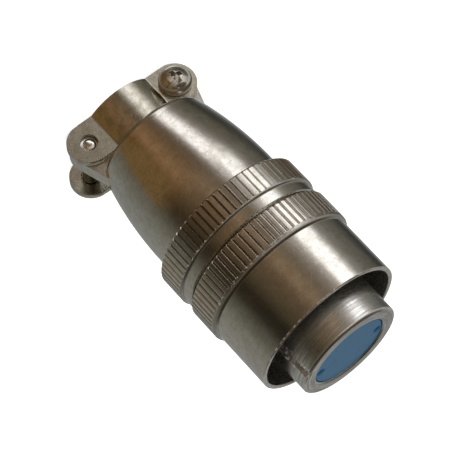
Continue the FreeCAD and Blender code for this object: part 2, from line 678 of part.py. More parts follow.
def make_saddle(label):
    """Stamped saddle: an arch between two flat ears, one with a clear hole and one tapped."""
    tip = "(screw_reach + ear_radius + edge_break)"
    body = new_body(label + "_strap")
    sketch = new_sketch(body, label + "_section", "XY_Plane", [
        ("-" + tip, "-ear_inner"),
        ("-bend_centre", "-ear_inner", "saddle_bend + saddle_gauge", -1),
        ("-bend_centre * bore_share", "arch_set - bend_drop * bore_share", "saddle_bore", 1),
        ("bend_centre * bore_share", "arch_set - bend_drop * bore_share", "saddle_bend + saddle_gauge", -1),
        ("bend_centre", "-ear_inner"),
        (tip, "-ear_inner"),
        (tip, "-ear_outer"),
        ("bend_centre", "-ear_outer", "saddle_bend", 1),
        ("bend_centre * bend_share", "arch_set - bend_drop * bend_share", "saddle_back", -1),
        ("-bend_centre * bend_share", "arch_set - bend_drop * bend_share", "saddle_bend", 1),
        ("-bend_centre", "-ear_outer"),
        ("-" + tip, "-ear_outer"),
    ])
    strap = body.newObject("PartDesign::Pad", label + "_pad")
    strap.Profile = sketch
    bind(strap, Length="saddle_width")
    blank = bind(doc.addObject("Part::Box", label + "_blank"), Length="2 * (screw_reach - ear_neck)",
                 Width="4 * saddle_back", Height="saddle_width",
                 Placement__Base__x="ear_neck - screw_reach", Placement__Base__y="-2 * saddle_back")
    ends = []
    holes = []
    for side, sign, gap in (("tapped", "", "tapped_gap"), ("clear", "-", "clear_gap")):
        place = {"Placement__Base__x": sign + "screw_reach", "Placement__Base__y": "2 * saddle_back",
                 "Placement__Base__z": "screw_level"}
        end = rod("%s_%s_end" % (label, side), "ear_radius", "4 * saddle_back", **place)
        hole = rod("%s_%s_hole" % (label, side), "screw_radius + " + gap, "4 * saddle_back", **place)
        ends.append(lay(end, (1, 0, 0), 90))
        holes.append(lay(hole, (1, 0, 0), 90))
    plan = doc.addObject("Part::MultiFuse", label + "_plan")
    plan.Shapes = [blank] + ends
    trimmed = doc.addObject("Part::MultiCommon", label + "_trimmed")
    trimmed.Shapes = [body, plan]
    return cut(label, trimmed, holes)


def make_clamp_screw(label):
    """Pan head screw with a cross recess, its head's seat at height 0 and its shank below."""
    body = turned(label + "_turned", [
        ("0 * head_radius", "edge_break - screw_length - edge_break"),
        ("screw_radius - edge_break", "-screw_length"),
        ("screw_radius", "edge_break - screw_length"),
        ("screw_radius", "0 * head_side"),
        ("head_radius", "0 * head_side"),
        ("head_radius", "head_side", "head_radius", 1),
        ("0 * head_radius", "head_height"),
    ])
    slots = []
    for name, across, along in (("slot_x", "recess_span", "recess_width"),
                                ("slot_y", "recess_width", "recess_span")):
        slots.append(bind(doc.addObject("Part::Box", "%s_%s" % (label, name)), Length=across, Width=along,
                          Height="2 * recess_depth", Placement__Base__x="-(%s) / 2" % across,
                          Placement__Base__y="-(%s) / 2" % along,
                          Placement__Base__z="head_height - recess_depth"))
    cross = doc.addObject("Part::MultiFuse", label + "_cross")
    cross.Shapes = slots
    point = bind(doc.addObject("Part::Cone", label + "_point"), Radius1="recess_width / 2",
                 Radius2="recess_span - recess_width / 2", Height="2 * recess_depth",
                 Placement__Base__z="head_height - recess_depth")
    recess = doc.addObject("Part::MultiCommon", label + "_recess")
    recess.Shapes = [cross, point]
    return cut(label, body, [recess])


def make_nodes():
    """Build every piece of the plug and put it where it belongs."""
    near_saddle = make_saddle("near_saddle")
    far_saddle = lay(make_saddle("far_saddle"), (0, 0, 1), 180)
    bind(far_saddle, Placement__Base__y="clamp_opening")
    near_screw = lay(make_clamp_screw("near_screw"), (1, 0, 0), 90)
    bind(near_screw, Placement__Base__x="-screw_reach", Placement__Base__y="-ear_outer - head_seat",
         Placement__Base__z="screw_level")
    far_screw = lay(make_clamp_screw("far_screw"), (1, 0, 0), -90)
    bind(far_screw, Placement__Base__x="screw_reach", Placement__Base__y="far_outer + head_seat",
         Placement__Base__z="screw_level")
    return [
        make_plug_shell(),
        make_shell_flange(),
        make_mating_seal(),
        make_front_insulator(),
        make_face_gasket(),
        make_rear_insulator(),
        make_insulator_lock_ring(),
        make_socket_contact("right_socket_contact", ""),
        make_socket_contact("left_socket_contact", "-"),
        make_socket_sleeve("right_socket_sleeve", ""),
        make_socket_sleeve("left_socket_sleeve", "-"),
        make_coupling_nut(),
        make_nut_sleeve(),
        make_thrust_washer(),
        make_nut_retaining_ring(),
        make_backshell(),
        make_backshell_gasket(),
        make_cable_bush(),
        near_saddle,
        far_saddle,
        near_screw,
        far_screw,
    ]


nodes = make_nodes()
doc.recompute()

for thing in doc.Objects:
    faults = {"Invalid", "Error"} & set(thing.State)
    if faults:
        raise RuntimeError("%s is %s" % (thing.Name, ", ".join(thing.State)))
for node in nodes:
    if node.Shape.isNull() or not node.Shape.isValid() or len(node.Shape.Solids) != 1:
        raise RuntimeError("%s is not one valid solid" % node.Label)

os.makedirs("parts", exist_ok=True)
for node in nodes:
    node.Shape.exportStep("parts/%s.step" % node.Label)
    print("%-22s %8.1f mm3" % (node.Label, node.Shape.Volume))
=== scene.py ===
import math

import bpy
from mathutils import Matrix, Vector


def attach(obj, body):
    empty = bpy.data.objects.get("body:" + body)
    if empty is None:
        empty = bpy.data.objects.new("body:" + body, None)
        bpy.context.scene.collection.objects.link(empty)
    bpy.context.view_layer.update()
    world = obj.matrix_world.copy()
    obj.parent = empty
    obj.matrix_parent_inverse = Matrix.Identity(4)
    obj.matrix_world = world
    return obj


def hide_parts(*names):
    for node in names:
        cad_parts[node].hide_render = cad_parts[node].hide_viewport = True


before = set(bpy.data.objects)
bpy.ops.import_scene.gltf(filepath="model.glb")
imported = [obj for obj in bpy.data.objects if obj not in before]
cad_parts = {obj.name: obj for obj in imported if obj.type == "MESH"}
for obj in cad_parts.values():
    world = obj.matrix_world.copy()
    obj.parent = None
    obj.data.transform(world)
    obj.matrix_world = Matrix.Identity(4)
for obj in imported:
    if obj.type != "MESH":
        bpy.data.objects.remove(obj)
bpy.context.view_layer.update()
MM = 0.001


# Camera. It stands where the photograph was taken, in front of the near saddle and a little above the
# mating face's side, turned so that the plug lies across the frame with its face at the lower right.
camera_data = bpy.data.cameras.new("camera")
camera_data.lens = 187.83
camera_data.sensor_width = 36
camera_data.clip_start = 0.01
camera = bpy.data.objects.new("camera", camera_data)
bpy.context.scene.collection.objects.link(camera)
camera.matrix_world = (Matrix.Translation((0.12124, -0.34337, 0.16426))
                       @ Matrix.Rotation(math.radians(19.340), 4, "Z")
                       @ Matrix.Rotation(math.radians(90 - 20.287), 4, "X")
                       @ Matrix.Rotation(math.radians(136.825), 4, "Z"))
bpy.context.scene.camera = camera
bpy.context.scene.view_settings.view_transform = "Standard"


# Floor. A plain pale studio floor under the foot of the clamp. It keeps the plug's shadow, and to the
# camera it runs out to white. Its material is built as all the later ones are.
class Link:
    """The output of a node. Python's operators and the methods on it add Math nodes."""

    def __init__(self, finish, socket):
        self.finish = finish
        self.socket = socket

    def math(self, operation, *values):
        return self.finish.node("ShaderNodeMath", {"operation": operation}, dict(enumerate(values)))

    def __add__(self, other):
        return self.math("ADD", self, other)

    def __radd__(self, other):
        return self.math("ADD", other, self)

    def __sub__(self, other):
        return self.math("SUBTRACT", self, other)

    def __rsub__(self, other):
        return self.math("SUBTRACT", other, self)

    def __mul__(self, other):
        return self.math("MULTIPLY", self, other)

    def __truediv__(self, other):
        return self.math("DIVIDE", self, other)

    def __abs__(self):
        return self.math("ABSOLUTE", self)

    def root(self):
        return self.math("SQRT", self)

    def most(self, other):
        return self.math("MAXIMUM", self, other)

    def part(self, axis):
        """One coordinate of a vector."""
        return self.finish.node("ShaderNodeSeparateXYZ", {}, {"Vector": self}, axis)

    def between(self, start, end, low=0.0, high=1.0):
        """Runs smoothly from low to high while the value goes from start to end."""
        return self.finish.node("ShaderNodeMapRange", {"interpolation_type": "SMOOTHSTEP"},
                                {0: self, 1: start, 2: end, 3: low, 4: high})

    def within(self, low, high, soft=0.08):
        """One while the value lies between two limits, and nothing outside."""
        return self.between(low - soft, low) * self.between(high, high + soft, 1.0, 0.0)


class Finish:
    """A material and its node tree."""

    def __init__(self, name):
        self.material = bpy.data.materials.new(name)
        self.material.use_nodes = True
        self.tree = self.material.node_tree
        self.tree.nodes.clear()

    def node(self, kind, settings, values, output=0):
        """Adds a node; its settings come first, then a value or a link for each socket named."""
        node = self.tree.nodes.new(kind)
        for key, setting in settings.items():
            if key == "stops":
                stops = node.color_ramp.elements
                stops.remove(stops[-1])
                stops[0].position, stops[0].color = setting[0]
                for place, look in setting[1:]:
                    stops.new(place).color = look
            else:
                setattr(node, key, setting)
        for key, value in values.items():
            if isinstance(value, Link):
                self.tree.links.new(value.socket, node.inputs[key])
            else:
                node.inputs[key].default_value = value
        return Link(self, node.outputs[output]) if node.outputs else None

    def shown(self, shader):
        """Sends a shader to the surface and gives the material."""
        self.node("ShaderNodeOutputMaterial", {}, {"Surface": shader})
        return self.material

    def place(self):
        """Object coordinates, in millimetres."""
        where = self.node("ShaderNodeTexCoord", {}, {}, "Object")
        return self.node("ShaderNodeMapping", {}, {"Vector": where, "Scale": (1 / MM,) * 3})

    def noise(self, where, scale, detail, rough=0.5):
        """Cloudy noise from 0 to 1; its scale counts the spots in a millimetre."""
        return self.node("ShaderNodeTexNoise", {}, {"Vector": where, "Scale": scale, "Detail": detail,
                                                    "Roughness": rough})

    def bump(self, height, strength, distance):
        """The surface's normal, disturbed by a height."""
        return self.node("ShaderNodeBump", {}, {"Strength": strength, "Distance": distance,
                                                "Height": height})

    def blend(self, factor, low, high):
        """Mixes two colours."""
        return self.node("ShaderNodeMix", {"data_type": "RGBA"}, {0: factor, 6: low, 7: high}, 2)


def colour(red, green, blue):
    """A colour read on a screen, 0 to 255, as the renderer's own."""
    return tuple((part / 255 / 12.92) if part < 10.3 else ((part / 255 + 0.055) / 1.055) ** 2.4
                 for part in (red, green, blue))


def shade(tint, strength=1.0):
    """A tint made darker or lighter, with full opacity."""
    return tuple(part * strength for part in tint) + (1,)


def cleared():
    """Leaves edit mode with nothing selected."""
    if bpy.context.object and bpy.context.object.mode != "OBJECT":
        bpy.ops.object.mode_set(mode="OBJECT")
    bpy.ops.object.select_all(action="DESELECT")


def named(name):
    """Names the new piece and leaves its place in its mesh."""
    cleared()
    piece = bpy.context.object
    piece.select_set(True)
    bpy.ops.object.transform_apply(location=True, rotation=True, scale=True)
    piece.name = piece.data.name = name
    return piece


cleared()
bpy.ops.mesh.primitive_grid_add(x_subdivisions=4, y_subdivisions=4, size=6, location=(0, 0, -0.00005))
floor = named("studio_floor")
finish = Finish("studio_floor")
rays = "ShaderNodeLightPath"
seen = finish.node(rays, {}, {}, "Is Camera Ray")
seen = seen.most(finish.node(rays, {}, {}, "Is Transmission Ray"))
pale = finish.node("ShaderNodeBsdfDiffuse", {}, {"Color": (0.86, 0.86, 0.86, 1)})
white = finish.node("ShaderNodeEmission", {}, {"Color": (1, 1, 1, 1), "Strength": seen * 0.7})
floor.data.materials.append(finish.shown(finish.node("ShaderNodeAddShader", {}, {0: pale, 1: white})))
floor.visible_glossy = False


# Studio. A round tent of plain cards that only reflections see, as polished metal shows little else. In
# the picture they run from a white strip over brown and black to grey, and a small brown card lies near
# the clamp. Three soft lamps and a pale sky light everything that isn't metal.
TENT_MIDDLE = (0, 0, 0.03)
TENT_LIGHT = 1.6
METAL = (0.70, 0.665, 0.61)


def card(red, green, blue):
    """The colour of a card that shows as this one in the plug's metal."""
    return shade([part / base for part, base in zip(colour(red, green, blue), METAL)], 1 / TENT_LIGHT)


cleared()
bpy.ops.mesh.primitive_uv_sphere_add(segments=96, ring_count=48, radius=0.6, location=TENT_MIDDLE)
bpy.ops.object.mode_set(mode="EDIT")
bpy.ops.mesh.flip_normals()
tent = named("studio_tent")
finish = Finish("studio_tent")
axes = finish.node("ShaderNodeVectorMath", {"operation": "NORMALIZE"}, {0: finish.place()})
bearing = axes.math("ARCTAN2", axes.part("X"), 0 - axes.part("Y")) / (2 * math.pi) + 0.5
rise = axes.part("Z")


def cards(*stops):
    """Cards round the plug, each a bearing and a colour: -180 is behind it, 0 in front, 90 at +X."""
    stops = [((turn + 180) / 360, card(*look)) for turn, look in stops]
    return finish.node("ShaderNodeValToRGB", {"stops": stops}, {"Fac": bearing})


level = cards((-180, (124, 122, 116)), (-162, (196, 194, 188)), (-150, (158, 157, 152)),
              (-138, (112, 111, 107)), (-127, (50, 49, 45)), (-117, (52, 51, 47)),
              (-104, (80, 78, 70)), (-83, (98, 94, 85)), (-68, (126, 121, 113)),
              (-62, (188, 182, 176)), (-57, (275, 270, 263)), (-38, (275, 270, 263)),
              (-33, (156, 146, 136)), (-24, (120, 110, 98)), (-10, (98, 86, 69)),
              (8, (124, 103, 80)), (22, (84, 68, 50)), (45, (66, 57, 41)), (62, (26, 24, 18)),
              (76, (38, 34, 26)), (98, (88, 85, 74)), (118, (115, 112, 101)),
              (150, (124, 122, 114)), (180, (124, 122, 116)))
low = cards((-180, (122, 121, 116)), (-152, (180, 181, 176)), (-140, (150, 150, 145)),
            (-126, (76, 76, 72)), (-108, (46, 43, 38)), (-90, (82, 78, 66)), (-71, (92, 86, 74)),
            (-56, (120, 112, 104)), (-48, (190, 184, 178)), (-43, (255, 249, 243)),
            (-26, (255, 249, 243)), (-21, (138, 126, 114)), (-13, (84, 71, 58)), (7, (100, 78, 54)),
            (27, (128, 98, 68)), (47, (90, 62, 32)), (62, (90, 67, 38)), (78, (88, 76, 56)),
            (90, (93, 87, 72)), (106, (100, 96, 85)), (130, (114, 114, 106)), (180, (122, 121, 116)))
high = cards((-180, (58, 52, 44)), (-90, (70, 64, 55)), (-30, (74, 64, 50)), (40, (46, 38, 28)),
             (100, (40, 36, 28)), (180, (58, 52, 44)))
glint = cards((-180, (136, 134, 128)), (-130, (134, 131, 124)), (-110, (130, 126, 118)),
              (-40, (190, 184, 174)), (40, (98, 86, 68)), (110, (90, 86, 74)), (180, (136, 134, 128)))
under = cards((-180, (70, 62, 52)), (-40, (96, 84, 68)), (40, (82, 64, 42)), (180, (70, 62, 52)))
light = finish.blend(rise.between(-0.50, -0.235), low, level)
light = finish.blend(rise.between(-0.88, -0.78), under, light)
light = finish.blend(rise.between(-0.10, 0.0), light, glint)
light = finish.blend(rise.between(0.52, 0.62), light, high)
tent.data.materials.append(finish.shown(finish.node("ShaderNodeEmission", {}, {
    "Color": light, "Strength": TENT_LIGHT})))
cleared()
bpy.ops.mesh.primitive_plane_add(size=0.05, location=(0.0618, -0.0329, -0.034),
                                 rotation=(math.radians(90), 0, math.radians(62)))
table = named("brown_table_card")
finish = Finish("brown_table_card")
table.data.materials.append(finish.shown(finish.node("ShaderNodeEmission", {}, {
    "Color": card(101, 78, 47), "Strength": TENT_LIGHT})))
for staged in (tent, table):
    for unseen in ("visible_camera", "visible_diffuse", "visible_shadow", "visible_transmission"):
        setattr(staged, unseen, False)

for name, place, size, power in (("key_lamp", (0.30, -0.35, 0.55), 0.35, 1.5),
                                 ("fill_lamp", (-0.45, -0.30, 0.30), 0.45, 0.9),
                                 ("back_lamp", (0.05, 0.50, 0.45), 0.45, 0.9)):
    lamp_data = bpy.data.lights.new(name, "AREA")
    lamp_data.size = size
    lamp_data.energy = power
    lamp = bpy.data.objects.new(name, lamp_data)
    bpy.context.scene.collection.objects.link(lamp)
    lamp.location = place
    lamp.rotation_euler = (Vector(place) - Vector(TENT_MIDDLE)).to_track_quat("Z", "Y").to_euler()
    lamp.visible_glossy = False

world = bpy.data.worlds.new("studio_sky")
world.use_nodes = True
bpy.context.scene.world = world
sky = world.node_tree.nodes["Background"]
path = world.node_tree.nodes.new("ShaderNodeLightPath")
glow = world.node_tree.nodes.new("ShaderNodeMapRange")
world.node_tree.links.new(path.outputs["Is Camera Ray"], glow.inputs["Value"])
glow.inputs["To Min"].default_value = 0.50
glow.inputs["To Max"].default_value = 1.0
sky.inputs["Color"].default_value = (1, 1, 1, 1)
world.node_tree.links.new(glow.outputs[0], sky.inputs["Strength"])


# Plug shell. Turned from brass bar and satin nickel plated, with a rounded front rim, a collar and a
# land behind the barrel, a ring groove and a threaded tail. The receptacle's key runs in its keyway.
TOO_SMALL = 1e-5


def turned(name, outline, columns):
    """Turns an outline of (radius, height) in millimetres about the axis, from a ring of points.

    Where the outline meets the axis, a ring too small to see is drawn and then merged.
    """
    cleared()
    radius, height = outline[0]
    closed = all(reach for reach, top in outline)
    start = radius if radius else outline[1][0]
    bpy.ops.mesh.primitive_circle_add(vertices=columns, radius=start * MM, location=(0, 0, height * MM))
    bpy.ops.object.mode_set(mode="EDIT")
    if not radius:
        bpy.ops.mesh.select_all(action="SELECT")
        bpy.ops.transform.resize(value=(TOO_SMALL,) * 3)
        radius = start * TOO_SMALL
    for reach, top in outline[1:] + outline[:1] * closed:
        reach = reach or radius * TOO_SMALL
        bpy.ops.mesh.extrude_region_move(TRANSFORM_OT_translate={"value": (0, 0, (top - height) * MM)})
        bpy.ops.transform.resize(value=(reach / radius, reach / radius, 1),
                                 center_override=(0, 0, top * MM))
        radius, height = reach, top
    bpy.ops.mesh.select_all(action="SELECT")
    bpy.ops.mesh.remove_doubles(threshold=1e-6)
    bpy.ops.mesh.normals_make_consistent(inside=False)
    return named(name)


def arc(centre, radius, start, end, steps):
    """Points of an arc of an outline, its angles in degrees from straight outwards."""
    turns = [math.radians(start + (end - start) * step / steps) for step in range(steps + 1)]
    return [(centre[0] + radius * math.cos(turn), centre[1] + radius * math.sin(turn))
            for turn in turns]


def worked(piece, kind, **settings):
    """Adds a modifier and applies it."""
    cleared()
    bpy.context.view_layer.objects.active = piece
    piece.select_set(True)
    modifier = piece.modifiers.new(kind, kind)
    for key, setting in settings.items():
        setattr(modifier, key, setting)
    bpy.ops.object.modifier_apply(modifier=modifier.name)
    return piece


def whole(step, **settings):
    """Does one step of edit mode to the whole of the mesh in hand."""
    bpy.ops.object.mode_set(mode="EDIT")
    bpy.ops.mesh.select_all(action="SELECT")
    step(**settings)


def picked(piece, test):
    """Goes into edit mode with the points selected whose place, in millimetres, passes a test."""
    bpy.context.view_layer.objects.active = piece
    bpy.ops.object.mode_set(mode="EDIT")
    bpy.ops.mesh.select_mode(type="VERT")
    bpy.ops.mesh.select_all(action="DESELECT")
    bpy.ops.object.mode_set(mode="OBJECT")
    for point in piece.data.vertices:
        point.select = test(*(point.co / MM))
    bpy.ops.object.mode_set(mode="EDIT")


def carved(piece, tool, operation="DIFFERENCE"):
    """Cuts a tool out of a piece, or joins it on, and throws the tool away."""
    worked(piece, "BOOLEAN", operation=operation, object=tool, solver="EXACT")
    bpy.data.objects.remove(tool)


def smoothed(piece, edge, steps=2):
    """Breaks the sharp edges by a width in millimetres and shades the rest smooth."""
    if edge:
        worked(piece, "BEVEL", width=edge * MM, segments=steps, limit_method="ANGLE",
               angle_limit=math.radians(34), use_clamp_overlap=True)
    cleared()
    bpy.context.view_layer.objects.active = piece
    piece.select_set(True)
    bpy.ops.object.shade_smooth_by_angle(angle=math.radians(32))
    return worked(piece, "WEIGHTED_NORMAL", keep_sharp=True)


def block(name, low, high):
    """A box between two corners, in millimetres."""
    cleared()
    middle = [(a + b) / 2 * MM for a, b in zip(low, high)]
    bpy.ops.mesh.primitive_cube_add(size=1, location=middle)
    bpy.context.object.scale = [(b - a) * MM for a, b in zip(low, high)]
    return named(name)


SCRATCHED = (0.86, 0.83, 0.78)
# Pale tone of the wear spots, which also serve as painted glints.
PALE_WEAR_GLINT = (0.80, 0.78, 0.74)


def metal(name, base, tint, rough, lines, wear, painted_shade=None, wear_and_glints=None, dull=None):
    """Plated metal: a cloudy film, turning lines, and specks, pits and scratches as strong as its wear.

    The masks: painted_shade says where shade is painted, wear_and_glints where pale wear spots also
    paint glints, and dull where polish is missing.
    """
    finish = Finish(name)
    place = finish.place()
    across, along, up = (place.part(axis) for axis in "XYZ")
    out = (across * across + along * along).root()
    lathe = finish.node("ShaderNodeCombineXYZ", {}, {
        0: (up + out) * 3.4, 1: across * 0.2, 2: along * 0.2})
    grain = finish.noise(lathe, 1.0, 2, 0.6)
    cloud = finish.noise(place, 0.8, 6, 0.6)
    swell = finish.noise(place, 0.22, 2)
    speck = finish.noise(place, 4.0, 3, 0.7)
    pit = finish.noise(place, 2.4, 3).between(0.58, 0.70)
    slant = finish.node("ShaderNodeVectorRotate", {"rotation_type": "EULER_XYZ"},
                        {"Vector": place, "Rotation": (0.5, 0.8, 0.3)})
    slant = finish.node("ShaderNodeVectorMath", {"operation": "MULTIPLY"}, {0: slant, 1: (0.3, 4, 4)})
    scratch = finish.noise(slant, 1.0, 1).between(0.68, 0.74)

    tone = finish.blend(cloud.between(0.38, 0.66), shade(base), shade(tint))
    tone = finish.blend(speck.between(0.40, 0.70) * (0.35 * wear), tone, shade(tint, 0.66))
    tone = finish.blend(grain.between(0.38, 0.62) * (0.3 * lines), tone, shade(base, 0.55))
    tone = finish.blend(pit * (0.3 * wear), tone, shade(tint, 0.5))
    tone = finish.blend(scratch * (0.7 * wear), tone, shade(SCRATCHED))
    uneven = rough + (grain - 0.5) * (lines * 0.16) + (cloud - 0.5) * 0.12 + pit * (wear * 0.08)
    height = (grain * lines + cloud * 0.8 + swell * 8 + scratch * (wear * 0.6) - pit * (wear * 0.7)
              + speck * (wear * 0.4))
    solid = 1.0
    # Wear spots: pale, part diffuse and raised, so that they also show as painted glints.
    if wear_and_glints:
        patchy = finish.noise(place, 2.0, 4, 0.7).between(0.52, 0.60)
        wear_glint_mask = wear_and_glints(across, along, up, out) * patchy
        tone = finish.blend(wear_glint_mask * 0.8, tone, shade(PALE_WEAR_GLINT))
        solid = 1 - wear_glint_mask * 0.45
        height = height + wear_glint_mask * 3
    # Painted shade: where the mask says, the tone is darkened towards a deep tint and roughened.
    if painted_shade:
        shade_amount = painted_shade(across, along, up, out) * speck.between(0.2, 0.6, 0.7)
        tone = finish.blend(shade_amount, tone, shade(tint, 0.3))
        uneven = uneven + shade_amount * 0.3
    if dull:
        thin = dull(across, along, up, out)
        solid = solid - thin * 0.05
        uneven = uneven + thin * 0.1
    return finish.shown(finish.node("ShaderNodeBsdfPrincipled", {}, {
        "Base Color": tone, "Metallic": solid, "Roughness": uneven,
        "Normal": finish.bump(height, 0.35, 0.000012)}))


def dressed(piece, material, slot, body, *nodes):
    """Gives a finished piece its material and its body, and hides the CAD nodes that it stands for; the
    slot is not used.
    """
    piece.data.materials.clear()
    piece.data.materials.append(material)
    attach(piece, body)
    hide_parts(*nodes)


KEY_TURN = math.radians(19.5)


def near_key(across, along, up, out):
    """The edges of the keyway, where the receptacle's key wears the plating; the pale wear spots also
    paint glints.
    """
    beside = across * math.sin(KEY_TURN) + along * math.cos(KEY_TURN)
    return beside.within(-0.95, 0.95, 0.3) * across.within(5, 12) * up.within(46, 58.1, 0.4)


turned_nickel = metal("turned_nickel", (0.92, 0.90, 0.86), (0.80, 0.77, 0.72), rough=0.30, lines=2.4,
                      wear=0.8, wear_and_glints=near_key)

shell = turned("plug_shell_piece",
               arc((9.0, 57.9), 0.5, 90, 0, 6)
               + [(9.5, 45.8), (9.9, 45.8), (9.9, 44.2), (12.2, 44.2), (12.2, 42.2), (9.5, 42.2),
                  (9.5, 38.05), (8.9, 38.05), (8.9, 37.15), (9.5, 37.15), (9.5, 36.44), (9.2, 36.44),
                  (9.2, 26.0), (7.9, 26.0), (7.9, 34.6), (8.3, 34.6), (8.3, 35.6), (7.9, 35.6),
                  (7.9, 54.4), (7.0, 54.4), (7.0, 58.2), (7.2, 58.4)], 240)
block("key_cutter", (8.9, -0.6, 47.4), (10.0, 0.6, 59))
whole(bpy.ops.transform.rotate, value=KEY_TURN, orient_axis="Z", center_override=(0, 0, 0))
carved(shell, named("key_cutter"))
smoothed(shell, 0.06)
dressed(shell, turned_nickel, "satin_nickel", "plug", "plug_shell", "shell_flange")


# Insulators. The front one is moulded in blue plastic and shows as the plug's face, with a countersunk
# hole for each contact pin. The rear one, black, holds the contacts from behind.
blue = Finish("blue_insulator")
place = blue.place()
mottle = blue.noise(place, 0.5, 4)
fine = blue.noise(place, 9.0, 2)
blue_plastic = blue.shown(blue.node("ShaderNodeBsdfPrincipled", {}, {
    "Base Color": blue.blend(mottle, shade(colour(32, 83, 117)), shade(colour(46, 97, 129))),
    "Roughness": 0.38 + (fine - 0.5) * 0.2, "Normal": blue.bump(fine, 0.3, 0.00002)}))

face = turned("front_insulator_piece",
              [(0, 46.0), (7.83, 46.0), (7.83, 53.9), (6.93, 53.9), (6.93, 58.0), (6.78, 58.15),
               (0, 58.15)], 120)
for side in (5.9, -5.9):
    turned("contact_hole", [(0, 45), (1.65, 45), (1.65, 46.9), (1.45, 46.9), (1.45, 53.6), (0.7, 53.6),
                            (0.7, 57.95), (0.95, 58.2), (0, 58.2)], 48)
    whole(bpy.ops.transform.translate, value=(side * MM, 0, 0))
    carved(face, named("contact_hole"))
smoothed(face, 0.04)
dressed(face, blue_plastic, "blue_insulator", "plug", "front_insulator")


def plastic(name, base, rough, scale):
    """Moulded rubber or thermoset: a dull fine grain with paler dust."""
    finish = Finish(name)
    place = finish.place()
    grain = finish.noise(place, scale, 3)
    dust = finish.noise(place, 0.8, 4).between(0.45, 0.8)
    return finish.shown(finish.node("ShaderNodeBsdfPrincipled", {}, {
        "Base Color": finish.blend(dust, shade(base), shade(base, 2.2)),
        "Roughness": rough + (grain - 0.5) * 0.2, "Normal": finish.bump(grain, 0.4, 0.00003)}))


black_thermoset = plastic("black_insulator", (0.04, 0.04, 0.045), 0.5, 6)
black_rubber = plastic("black_rubber", (0.028, 0.028, 0.028), 0.72, 4)


def refinished(node, material):
    """Puts a material on a piece that keeps the part's own shape."""
    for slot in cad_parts[node].material_slots:
        slot.material = material


refinished("rear_insulator", black_thermoset)
refinished("face_gasket", black_rubber)


# Contacts. Two turned socket contacts with solder cups, bright plated, each with a thin spring sleeve
# round its mouth. The snap rings that hold the insulators and the nut are plain spring steel.
contact_brass = metal("contact_brass", (0.80, 0.66, 0.36), (0.72, 0.56, 0.28), rough=0.22, lines=1.0,
                      wear=0.3)
spring_steel = metal("spring_steel", (0.46, 0.46, 0.46), (0.38, 0.38, 0.38), rough=0.34, lines=0.6,
                     wear=0.5)
for node in ("right_socket_contact", "left_socket_contact"):
    refinished(node, contact_brass)
for node in ("right_socket_sleeve", "left_socket_sleeve", "insulator_lock_ring", "nut_retaining_ring"):
    refinished(node, spring_steel)


# Mating seal. A moulded rubber ring on the land ahead of the collar, with rounded edges; the front of
# the receptacle's shell presses on it.
seal = turned("mating_seal_piece",
              [(9.97, 44.2), (11.5, 44.2)] + arc((11.4, 44.5), 0.3, -60, 0, 3)
              + arc((11.4, 45.5), 0.3, 0, 90, 4) + arc((10.27, 45.5), 0.3, 90, 180, 4), 160)
smoothed(seal, 0)
dressed(seal, black_rubber, "black_rubber", "plug", "mating_seal")


# Coupling nut. One turned and straight knurled brass piece, satin nickel plated: 72 teeth, a rounded
# step down to a thin front sleeve, a web that pulls the plug home and a skirt behind it.
TEETH = 72
COLUMNS = 6 * TEETH
RING = 14.05
GROOVES = 13.65


def knurled(piece, rings):
    """Sinks every sixth column of a toothed stretch, so that its rings of points become teeth."""
    for radius, height in rings:
        picked(piece, lambda x, y, z: abs(z - height) < 0.01 and abs(math.hypot(x, y) - radius) < 0.02
               and abs(math.remainder(math.degrees(math.atan2(y, x)), 360 / TEETH)) < 0.25)
        bpy.ops.transform.resize(value=(GROOVES / radius, GROOVES / radius, 1),
                                 center_override=(0, 0, height * MM))
        bpy.ops.object.mode_set(mode="OBJECT")


def shade_in_grooves(across, along, up, out):
    """Painted shade in the grooves of both knurled rings and on the steps down from them."""
    rings = up.within(28.2, 33.0) + up.within(35.9, 40.95)
    steps = up.within(33.08, 33.4) + up.within(41.02, 41.9)
    sunk = out.between(RING - 0.03, RING - 0.17, 0.0, 0.35)
    return (sunk * rings + steps * 0.4) * out.between(13.3, 13.55)


def on_shoulders(across, along, up, out):
    """The rims of the turned steps, with small nicks; their pale wear spots also paint glints."""
    rims = up.within(33.0, 33.2) + up.within(41.0, 41.3) + up.within(53.1, 53.3)
    return rims * out.between(13.3, 13.5)


def inside_sleeve(across, along, up, out):
    """The inside of the nut's front sleeve, where the plating is thin."""
    return up.between(41.0, 41.3) * out.between(13.0, 12.85)


satin_nickel = metal("satin_nickel", (0.76, 0.725, 0.665), (0.65, 0.61, 0.53), rough=0.17, lines=0.4,
                     wear=0.8, painted_shade=shade_in_grooves, wear_and_glints=on_shoulders, dull=inside_sleeve)

nut = turned("coupling_nut_piece",
             [(11.9, 35.9), (13.75, 35.9), (RING, 36.2), (RING, 40.88), (RING, 41.0)]
             + arc((13.5, 41.4), 0.55, 0, 90, 5)
             + [(13.5, 53.1), (13.4, 53.2), (12.8, 53.2), (12.7, 53.1), (12.7, 40.9), (9.6, 40.9),
                (9.6, 38.9), (11.9, 38.9)], COLUMNS)
knurled(nut, [(13.75, 35.9), (RING, 36.2), (RING, 40.88)])
smoothed(nut, 0.045)
dressed(nut, satin_nickel, "satin_nickel", "nut", "coupling_nut", "nut_sleeve")
refinished("thrust_washer", metal("washer_brass", (0.72, 0.58, 0.30), (0.62, 0.48, 0.24), rough=0.36,
                                  lines=0.8, wear=0.6))


# Backshell. Turned from one brass bar with the second ring of 72 teeth, a plain band ahead of it and a
# curved taper behind it; two flared lugs at its rear carry the cable clamp. Satin nickel plated.
SCREW_ASIDE = 9.1
SCREW_UP = 3.75
LUG_INNER = 5.75
LUG_OUTER = 12.286
LUG_TOP = 11.0
LUG_HALF = 1.35


